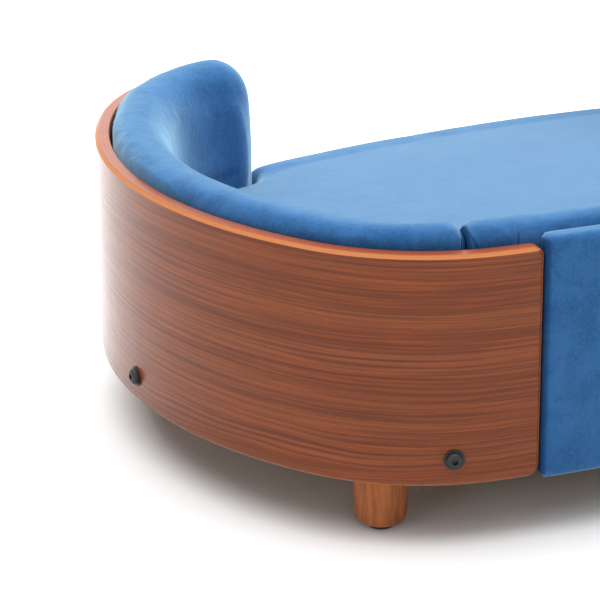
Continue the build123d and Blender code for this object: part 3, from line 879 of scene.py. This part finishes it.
# Bolsters
def bolster_ring(angle, slim_out=0.0, slim_in=0.0, drop=0.0):
    """One cross section of a bolster, square to the wall, as points in space."""
    outer = BOLSTER_OUTER + 0.0010 + slim_out
    inner = BOLSTER_INNER - slim_in
    top = RIM + BOLSTER_RISE - drop
    half = (inner - outer) / 2
    crest = (inner + outer) / 2 - 0.16 * half
    shoulder = top - min(0.0145, half)
    inner_shoulder = top - min(0.034, 1.3 * half)
    foot = SEAT + 0.0006
    bulge = BOLSTER_BULGE * half / 0.025
    line = [(outer + 0.004, foot), (outer, foot + 0.004),
            (outer + 0.0016, shoulder - 0.0075), (outer, shoulder)]
    for t in np.linspace(0, math.pi, 19)[1:-1]:
        rise, reach = math.sin(t), abs(math.cos(t))
        if t < math.pi / 2:
            line.append((crest - (crest - outer) * reach ** 0.8, shoulder + (top - shoulder) * rise ** 0.8))
        else:
            line.append((crest + (inner - crest) * reach ** 0.95,
                         inner_shoulder + (top - inner_shoulder) * rise ** 0.95))
    for s in np.linspace(0, 1, 13)[:-1]:
        line.append((inner + bulge * 4 * s * (1 - s), inner_shoulder + (foot + 0.004 - inner_shoulder) * s))
    line += [(inner, foot + 0.004), (inner - 0.004, foot)]
    line = evenly(line, BOLSTER_POINTS)
    return np.column_stack([on_oval(np.full(BOLSTER_POINTS, angle), line[:, 0]), line[:, 1]])


def turn_for(length, angle):
    """The turn that a length takes along the middle of a bolster."""
    _, radius, _ = arcs_at(angle)
    return math.degrees(length / (float(radius) - (BOLSTER_OUTER + BOLSTER_INNER) / 2))


def end_rings(angle, way, length, slim_out, slim_in, drop):
    """Cross sections that shrink towards a soft end as a quarter ellipse does."""
    rings = []
    for turn in SOFT_TURNS:
        share, loss = math.sin(math.radians(turn)), 1 - math.cos(math.radians(turn))
        here = angle + way * turn_for(length * share, angle + way)
        rings.append(bolster_ring(here, slim_out * loss, slim_in * loss, drop * loss))
    return rings


def held_between(points, low_turn, high_turn):
    """Keeps a bolster's points off the shell, the deck, the mattress and the next bolster."""
    points = points.copy()
    turn, inset = wall_place(points)
    turn = np.where(turn < -90, turn + 360, turn)
    turn = np.clip(turn, low_turn, high_turn)
    near_mattress = points[:, 2] < SEAT + MATTRESS_TOP
    inset = np.maximum(inset, BOLSTER_OUTER + 0.0006)
    inset = np.where(near_mattress, np.minimum(inset, MATTRESS_ROOM - 0.0004), inset)
    points[:, :2] = on_oval(turn, inset)
    points[:, 2] = np.maximum(points[:, 2], SEAT + 0.0003)
    return points


def nose_centre():
    """The middle of the round corner that the mattress leaves for a side bolster's front end."""
    return on_oval(-NOSE_TURN, MATTRESS_ROOM - NOSE_RADIUS)


def held_in_nose(points):
    """Holds a side bolster's front end inside the mattress's round corner."""
    points = points.copy()
    turn, _ = wall_place(points)
    away = points[:, :2] - nose_centre()
    reach = np.linalg.norm(away, axis=1)
    limit = NOSE_RADIUS - 0.0003
    out = (turn < -NOSE_TURN) & (turn > -90) & (reach > limit) & (points[:, 2] < SEAT + MATTRESS_TOP)
    points[out, :2] = nose_centre() + away[out] / reach[out, None] * limit
    return points


def stuffed_bolster(name, first, last, starts, ends, keep):
    """A bolster from one turn to another, between the rings of its two soft ends."""
    sizes = bpy.context.scene.dog_bed_sizes
    rings = starts[::-1] + [bolster_ring(a) for a in run_angles(first, last, 0.04, 0.012)] + ends
    return inflated(skinned(name, rings), sizes.pressure, sizes.bolster_swell, keep, BOLSTER_VOXEL)


def side_bolster():
    """The C-shaped bolster at the bed's +X end."""
    butt = BOLSTER_SPLIT - turn_for(BUTT_BACK, BOLSTER_SPLIT)

    def keep(points):
        return held_in_nose(held_between(points, NOSE_END, BOLSTER_SPLIT - SPLIT_GAP))
    return stuffed_bolster("bolster_right_velvet", -SIDE_TURN, butt, end_rings(-SIDE_TURN, -1, *NOSE_SHAPE),
                           end_rings(butt, 1, *BUTT_SHAPE), keep)


def back_bolster():
    """The bolster across the back."""
    butt = BOLSTER_SPLIT + turn_for(BUTT_BACK, BOLSTER_SPLIT)

    def keep(points):
        return held_between(points, BOLSTER_SPLIT + SPLIT_GAP, 180 - BOLSTER_SPLIT - SPLIT_GAP)
    return stuffed_bolster("bolster_back_velvet", butt, 180 - butt, end_rings(butt, -1, *BUTT_SHAPE),
                           end_rings(180 - butt, 1, *BUTT_SHAPE), keep)


# Mattress
def mattress_outline(inset, step=0.004):
    """The mattress in plan: along the bolsters, round their front ends, and across the open front."""
    room, front_room = MATTRESS_ROOM + inset, MATTRESS_FRONT + inset
    back = on_oval(run_angles(-NOSE_TURN, 180 + NOSE_TURN, room, step), room)
    turns = np.radians(180 - NOSE_TURN + np.linspace(0, 85, 24))
    nose = nose_centre() + (NOSE_RADIUS + inset) * np.stack([np.cos(turns), np.sin(turns)], 1)
    corner_turn, _ = wall_place(nose[-1:])
    front = on_oval(run_angles(float(corner_turn[0]), -90.0, front_room, step), front_room)
    right = np.vstack([nose, front])
    left = right[::-1] * np.array([-1.0, 1.0])
    line = evenly(np.vstack([back[::-1][:-1], right, left[1:-1]]), int(2.2 / step))
    at_front_corners = line[:, 1] < 0.085 - HALF_DEPTH
    for _ in range(int(2 * (0.004 / step) ** 2)):
        smooth = (np.roll(line, 1, 0) + line + np.roll(line, -1, 0)) / 3
        line = np.where(at_front_corners[:, None], smooth, line)
    return line


def layered(outline, levels):
    """Rings of an outline at pairs of an inset and a height."""
    inward = inward_of(outline)
    return [np.column_stack([outline + inward * inset, np.full(len(outline), z)]) for inset, z in levels]


def held_off_bolsters(points):
    """Keeps the mattress's points off the bolsters, the deck and the front."""
    points = points.copy()
    turn, inset = wall_place(points)
    along_wall = (turn > -NOSE_TURN) | (turn < -180 + NOSE_TURN)
    inset = np.where(along_wall, np.maximum(inset, MATTRESS_ROOM + 0.0002),
                     np.maximum(inset, MATTRESS_FRONT_LIMIT))
    plan = on_oval(turn, inset)
    flip = np.stack([np.where(plan[:, 0] < 0, -1.0, 1.0), np.ones(len(plan))], 1)
    mirrored = plan * flip
    away = mirrored - nose_centre()
    reach = np.linalg.norm(away, axis=1)
    limit = NOSE_RADIUS + 0.0004
    close = (reach < limit) & ~along_wall
    pushed = nose_centre() + away / np.maximum(reach, 1e-6)[:, None] * limit
    points[:, :2] = np.where(close[:, None], pushed, mirrored) * flip
    points[:, 2] = np.maximum(points[:, 2], SEAT + 0.0015)
    return points


def mattress_shape():
    """The stuffed mattress, crowned, with drawn-in edges."""
    sizes = bpy.context.scene.dog_bed_sizes
    foot, edge = SEAT + 0.0016, SEAT + MATTRESS_EDGE
    levels = [(inset, foot + rise) for inset, rise in quarter_turn(MATTRESS_FOOT_RADIUS, 90, 0, 6)]
    levels.append((0.0012, (foot + edge) / 2 - 0.003))
    levels += [(inset, edge - fall) for inset, fall in quarter_turn(MATTRESS_EDGE_RADIUS, 0, 90, 8)]
    obj = skinned("mattress_velvet", layered(mattress_outline(0.0008), levels))
    inflated(obj, sizes.pressure, sizes.mattress_swell, held_off_bolsters, MATTRESS_VOXEL)
    points = points_of(obj.data)
    reach = (points[:, 0] / CROWN_REACH[0]) ** 2 + ((points[:, 1] + 0.02) / CROWN_REACH[1]) ** 2
    high = ease((points[:, 2] - (SEAT + 0.030)) / 0.020)
    points[:, 2] += high * sizes.crown * np.clip(1 - reach, 0, 1)
    points[:, 2] += high * 0.0008 * wander(points, 0.19, 4)
    move_points(obj.data, points)
    return obj


def sew_mattress(obj):
    """Stitches round the mattress's side."""
    outline = mattress_outline(0.0)
    loop = np.vstack([outline, outline[:1]])
    path, lean = on_surface(obj, np.column_stack([loop, np.full(len(loop), SEAT + SEAM_HEIGHT)]))
    spacing = bpy.context.scene.dog_bed_sizes.stitch_spacing
    laid_along("mattress_seam_stitches", path, lean, "mattress", spacing, 0.0030, 0.0005, sewing_thread())


def mattress_underside():
    """The woven sheet under the mattress and its grip dots."""
    low, high = SEAT + 0.0003, SEAT + 0.0014
    levels = ((0.0006, low), (0.0, low + 0.0003), (0.0, high - 0.0003), (0.0006, high))
    under = skinned("mattress_underside", layered(mattress_outline(UNDERSIDE_INSET, 0.006), levels))
    under.data.materials.append(woven_black())
    dots = placed("mattress_grip_dots", under.data.copy())
    spacing = bpy.context.scene.dog_bed_sizes.dot_spacing
    dot_recipe().run_on(dots, {"Spacing": spacing, "Level": low - 0.00005, "Material": grip_dot()})
    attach(under, "mattress")
    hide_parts("mattress_base_fabric")
    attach(dots, "mattress")


# Panels
def panel_profile():
    """Insets and depths of a panel's cover, from its face round its edge to the end of its hem."""
    face = [(inset, PANEL_PROUD + depth) for depth, inset in quarter_turn(PANEL_EDGE_RADIUS, 0, 90, 8)]
    return face + [(0.0, PANEL_PROUD + PANEL_EDGE_RADIUS + 0.004), (0.0, PANEL_BEHIND - 0.001),
                   (0.0006, PANEL_BEHIND - 0.0002), (0.0016, PANEL_BEHIND), (PANEL_HEM - 0.001, PANEL_BEHIND),
                   (PANEL_HEM, PANEL_BEHIND - 0.0003), (PANEL_HEM, PANEL_BEHIND - 0.0012)]


class Panel:
    """A padded panel on the wall, as a rectangle laid flat: the turn of its middle, and its size."""

    def __init__(self, middle, node):
        low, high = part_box(node)
        self.middle = middle
        self.level = (low[2] + high[2]) / 2
        self.tall = high[2] - low[2]
        self.width = SIDE_RADIUS * math.asin(PANEL_REACH / SIDE_RADIUS) * 2
        self.count = 2 * (PANEL_COLUMNS + max(10, int(self.tall / PANEL_ROW)))

    def line(self, inset):
        """Points round the rectangle, with rounded corners, a distance in from its edges."""
        a, b = self.width / 2 - inset, self.tall / 2 - inset
        r = max(PANEL_CORNER - inset, 0.0004)
        corners = [(a, 0.0)]
        for side, end, start in ((1, 1, 0), (-1, 1, 90), (-1, -1, 180), (1, -1, 270)):
            for t in np.radians(np.linspace(start, start + 90, 5)):
                corners.append((side * (a - r) + r * math.cos(t), end * (b - r) + r * math.sin(t)))
        return evenly(corners, self.count)

    def in_space(self, line, depth):
        """Flat points set on the wall, at a depth inside its outer face."""
        turn = self.middle + np.degrees(line[:, 0] / SIDE_RADIUS)
        return np.column_stack([on_oval(turn, np.full(turn.shape, depth)), line[:, 1] + self.level])

    def shrunk(self, line, share):
        """A line drawn in towards the rectangle's middle line."""
        return line * np.array([1 - (1 - share) * self.tall / self.width, share])

    def cover(self, name):
        """Velvet drawn over the board: crowned face, soft edges and a hem turned in behind."""
        lines = [(self.line(inset), depth) for inset, depth in panel_profile()]
        face, hem = lines[0][0], lines[-1][0]
        crown = [(self.shrunk(face, share), PANEL_PROUD - PANEL_CROWN * (1 - share ** 2))
                 for share in np.linspace(0, 1, 16)[:-1]]
        lines = crown + lines + [(self.shrunk(hem, 0.0), PANEL_BEHIND - 0.0012)]
        obj = skinned(name, [self.in_space(line, depth) for line, depth in lines], caps=False)
        spots = points_of(obj.data)
        turn, inset = wall_place(spots)
        _, _, normal = arcs_at(turn)
        front = ease((0.001 - inset) / 0.004)
        spots[:, :2] += normal * (front * 0.00035 * wander(spots, 0.09, 11))[:, None]
        move_points(obj.data, spots)
        return obj

    def staple(self, name):
        """Staples along the hem; the path stops short, so that the last doesn't meet the first."""
        path = self.in_space(self.line(STAPLE_INSET)[:-4], WALL + 0.0002)
        _, _, normal = arcs_at(wall_place(path)[0])
        lean = np.column_stack([-normal, np.zeros(len(path))])
        spacing = bpy.context.scene.dog_bed_sizes.staple_spacing
        laid_along(name, path, lean, "frame", spacing, STAPLE_LENGTH, 0.0003, staple_wire())


# Settings in the sidebar
def length_setting(name, description, default):
    return FloatProperty(name=name, description=description, default=default, unit="LENGTH")


def colour_setting(name, description, default):
    return FloatVectorProperty(name=name, description=description, default=default, subtype="COLOR", size=3,
                               min=0.0, max=1.0)


class DogBedSizes(bpy.types.PropertyGroup):
    pressure: FloatProperty(name="Stuffing", description="How hard the cushions are blown up", default=4.0)
    bolster_swell: length_setting("Bolster Swell", "Most that a bolster's cover may move outwards", 0.0025)
    mattress_swell: length_setting("Mattress Swell", "Most that the mattress cover may move outwards", 0.004)
    crown: length_setting("Mattress Crown", "Height of the mattress's middle above its edge", 0.008)
    stitch_spacing: length_setting("Stitch Spacing", "Distance between stitches on the seams", 0.0042)
    staple_spacing: length_setting("Staple Spacing", "Distance between staples in the hems", 0.028)
    dot_spacing: length_setting("Grip Dot Spacing", "Distance between the dots under the mattress", 0.012)
    floor_size: length_setting("Floor Size", "Width of the studio floor", 40.0)


class DogBedColours(bpy.types.PropertyGroup):
    veneer: colour_setting("Veneer", "Main tone of the walnut veneer", (0.236, 0.054, 0.016))
    veneer_light: colour_setting("Light Veneer", "Lighter bands of the veneer", (0.315, 0.083, 0.027))
    veneer_warm: colour_setting("Warm Veneer", "Orange lines in the veneer", (0.400, 0.094, 0.021))
    veneer_dark: colour_setting("Dark Veneer", "Dark streaks of the veneer", (0.100, 0.024, 0.010))
    edge: colour_setting("Ply Edge", "Stained edge of the plywood", (0.30, 0.062, 0.015))
    edge_dark: colour_setting("Dark Ply Edge", "Darker layers of the plywood edge", (0.21, 0.040, 0.010))
    # Painted highlight on the plywood's bevelled outer edge and thin edges
    bevel_highlight: colour_setting("Bevel", "Bevelled outer edge of the plywood", (0.62, 0.205, 0.062))
    leg: colour_setting("Leg", "Main tone of the legs", (0.48, 0.150, 0.042))
    leg_dark: colour_setting("Dark Leg", "Darker grain of the legs", (0.29, 0.082, 0.023))
    velvet: colour_setting("Velvet", "Main tone of the velvet", (0.026, 0.112, 0.292))
    velvet_lit: colour_setting("Stroked Velvet", "Velvet where the pile lies flat", (0.050, 0.178, 0.420))
    velvet_shade: colour_setting("Deep Velvet", "Velvet where the pile stands up", (0.015, 0.072, 0.205))


# One operator for each group of pieces
class BedOperator:
    bl_options = {"REGISTER", "UNDO"}


class DOGBED_OT_shells(BedOperator, bpy.types.Operator):
    """Finish the bent-plywood shells in walnut veneer"""
    bl_idname = "dogbed.shells"
    bl_label = "Shells"

    def execute(self, context):
        paint(("shell_right", "shell_left"), walnut_veneer())
        return {"FINISHED"}


class DOGBED_OT_base(BedOperator, bpy.types.Operator):
    """Finish the base ring, rails, deck and hidden boards"""
    bl_idname = "dogbed.base"
    bl_label = "Base and Boards"

    def execute(self, context):
        paint(("base_ring_right", "base_ring_left", "base_rail_back", "base_rail_front", "cross_rail_right",
               "cross_rail_left", "centre_rail", "deck_board", "back_panel_board", "front_apron_board",
               "bolster_board_right", "bolster_board_left", "bolster_board_back"), raw_plywood())
        paint(("panel_dowels",), beech())
        return {"FINISHED"}


class DOGBED_OT_hardware(BedOperator, bpy.types.Operator):
    """Finish the bolts, plates, screws and hook-and-loop strips"""
    bl_idname = "dogbed.hardware"
    bl_label = "Hardware"

    def execute(self, context):
        paint(("shell_bolts", "shell_washers"), black_steel())
        paint(("bolt_inserts", "join_plates", "join_plate_screws", "deck_screws", "leg_plates",
               "leg_plate_screws", "leg_studs"), zinc_steel())
        paint(("hook_strips", "loop_strips_right", "loop_strips_left", "loop_strips_back"), woven_black())
        return {"FINISHED"}


class DOGBED_OT_legs(BedOperator, bpy.types.Operator):
    """Finish the turned legs and their glides"""
    bl_idname = "dogbed.legs"
    bl_label = "Legs"

    def execute(self, context):
        paint(("leg_back_right", "leg_back_left", "leg_front_left", "leg_front_right"), turned_leg())
        paint(("leg_glides",), black_plastic())
        return {"FINISHED"}


class DOGBED_OT_panels(BedOperator, bpy.types.Operator):
    """Cover the back panel and the front apron, and staple their hems"""
    bl_idname = "dogbed.panels"
    bl_label = "Panels"

    def execute(self, context):
        for name, middle, node in (("back_panel_velvet", 90.0, "back_panel_cover"),
                                   ("front_apron_velvet", -90.0, "front_apron_cover")):
            panel = Panel(middle, node)
            obj = panel.cover(name)
            dressed(obj, "frame", node)
            panel.staple(name + "_staples")
        return {"FINISHED"}


class DOGBED_OT_bolsters(BedOperator, bpy.types.Operator):
    """Stuff and cover the three bolsters"""
    bl_idname = "dogbed.bolsters"
    bl_label = "Bolsters"

    def execute(self, context):
        right = side_bolster()
        left = mirrored_copy(right, "bolster_left_velvet")
        back = back_bolster()
        for obj, body in ((right, "bolster_right"), (left, "bolster_left"), (back, "bolster_back")):
            dressed(obj, body, body)
        return {"FINISHED"}


class DOGBED_OT_mattress(BedOperator, bpy.types.Operator):
    """Stuff and cover the mattress, sew its seam and add its grip underside"""
    bl_idname = "dogbed.mattress"
    bl_label = "Mattress"

    def execute(self, context):
        obj = mattress_shape()
        dressed(obj, "mattress", "mattress_cover", "mattress_core")
        sew_mattress(obj)
        mattress_underside()
        return {"FINISHED"}


# Stage
def lay_floor(width):
    """A white paper floor that keeps the bed's shadow and shines white away from it."""
    half = width / 2
    floor = object_from("floor", [(-half, -half, 0), (half, -half, 0), (half, half, 0), (-half, half, 0)],
                        [(0, 1, 2, 3)], smooth=False)
    paper = Finish(bpy.data.materials.new("white_paper"))
    diffuse = paper.node("ShaderNodeBsdfDiffuse", None, {"Color": (0.90, 0.90, 0.90)})
    _, depth, _ = paper.wall()
    away = 0.0 - depth
    # Painted light: a glow seen by the camera and reflections rises from 55 mm inside the bed's footprint
    # outwards, so the fade at the shadow's edge is partly painted; farther out it whitens the floor
    shine = away.between(-0.055, 0.006) * 0.22 + away.between(0.0, 0.07) * 0.12
    shine = (shine + away.between(0.25, 1.0) * 0.40) * paper.seen()
    glow = paper.node("ShaderNodeEmission", None, {"Color": (1.0, 1.0, 1.0), "Strength": shine})
    floor.data.materials.append(paper.shown(paper.node("ShaderNodeAddShader", None, {0: diffuse, 1: glow})))


def light_sky(scene):
    """A faint even light from all sides, which the camera and reflections see as white."""
    scene.world = bpy.data.worlds.new("studio")
    sky = Finish(scene.world)
    lit = sky.node("ShaderNodeBackground", None, {"Color": SKY_TINT, "Strength": SKY_STRENGTH})
    white = sky.node("ShaderNodeBackground", None, {"Color": (1.0, 1.0, 1.0)})
    mixed = sky.node("ShaderNodeMixShader", None, {0: sky.seen(), 1: lit, 2: white})
    sky.shown(mixed, "ShaderNodeOutputWorld")


def hang_lamps(scene):
    """A wide soft lamp overhead and weaker ones round the bed: place, aim, width and power."""
    lamps = {"overhead": ((-0.2, -0.5, 2.1), (-0.1, -0.2, 0), 4.0, 128.0),
             "left": ((2.6, 1.1, 0.5), (0, 0, 0.12), 1.2, 9.0),
             "near": ((0.9, 2.4, 1.7), (0, 0, 0.12), 1.6, 9.0),
             "right": ((-2.2, -0.8, 1.3), (0, 0, 0.15), 1.5, 27.0),
             "far": ((-1.3, -2.6, 1.5), (0, 0, 0.1), 2.2, 23.0)}
    for name, (spot, aim, size, power) in lamps.items():
        lamp = bpy.data.lights.new(name, "AREA")
        lamp.shape = "SQUARE"
        lamp.size = size
        lamp.energy = power
        holder = placed(name, lamp)
        holder.location = spot
        holder.rotation_euler = (Vector(aim) - Vector(spot)).to_track_quat("-Z", "Y").to_euler()


def set_camera(scene):
    """The photograph's camera: above and behind the bed's end, framed to the left."""
    camera = bpy.data.cameras.new("camera")
    camera.sensor_width = 36.0
    camera.lens = 159.54
    camera.shift_x = -0.1
    camera.clip_end = 100.0
    eye = placed("camera", camera)
    eye.location = (1.3042, 1.9701, 0.9820)
    azimuth, elevation = math.radians(151.60), math.radians(21.274)
    back = Vector((math.sin(azimuth) * math.cos(elevation), -math.cos(azimuth) * math.cos(elevation),
                   math.sin(elevation)))
    eye.rotation_euler = back.to_track_quat("Z", "Y").to_euler()
    scene.camera = eye


class DOGBED_OT_stage(BedOperator, bpy.types.Operator):
    """Set the white floor, the soft lights and the camera of the photograph"""
    bl_idname = "dogbed.stage"
    bl_label = "Stage"

    def execute(self, context):
        scene = context.scene
        lay_floor(scene.dog_bed_sizes.floor_size)
        light_sky(scene)
        hang_lamps(scene)
        set_camera(scene)
        scene.view_settings.view_transform = "Standard"
        return {"FINISHED"}


class DOGBED_PT_sidebar(bpy.types.Panel):
    """Lists the bed's sizes, colours and build steps"""
    bl_idname = "DOGBED_PT_sidebar"
    bl_label = "Oval Dog Bed"
    bl_space_type = "VIEW_3D"
    bl_region_type = "UI"
    bl_category = "Dog Bed"

    def draw(self, context):
        for settings in (context.scene.dog_bed_sizes, context.scene.dog_bed_colours):
            column = self.layout.column(align=True)
            for name in settings.__annotations__:
                column.prop(settings, name)
        column = self.layout.column(align=True)
        for step in STEPS:
            column.operator(step.bl_idname)


STEPS = (DOGBED_OT_shells, DOGBED_OT_base, DOGBED_OT_hardware, DOGBED_OT_legs, DOGBED_OT_panels,
         DOGBED_OT_bolsters, DOGBED_OT_mattress, DOGBED_OT_stage)
CLASSES = (DogBedSizes, DogBedColours, *STEPS, DOGBED_PT_sidebar)


def register():
    for item in CLASSES:
        bpy.utils.register_class(item)
    bpy.types.Scene.dog_bed_sizes = PointerProperty(type=DogBedSizes)
    bpy.types.Scene.dog_bed_colours = PointerProperty(type=DogBedColours)


def unregister():
    del bpy.types.Scene.dog_bed_colours
    del bpy.types.Scene.dog_bed_sizes
    for item in reversed(CLASSES):
        bpy.utils.unregister_class(item)


def main():
    register()
    bpy.ops.dogbed.shells()
    bpy.ops.dogbed.base()
    bpy.ops.dogbed.hardware()
    bpy.ops.dogbed.legs()
    bpy.ops.dogbed.panels()
    bpy.ops.dogbed.bolsters()
    bpy.ops.dogbed.mattress()
    bpy.ops.dogbed.stage()
    bpy.context.view_layer.update()


if __name__ == "__main__":
    main()
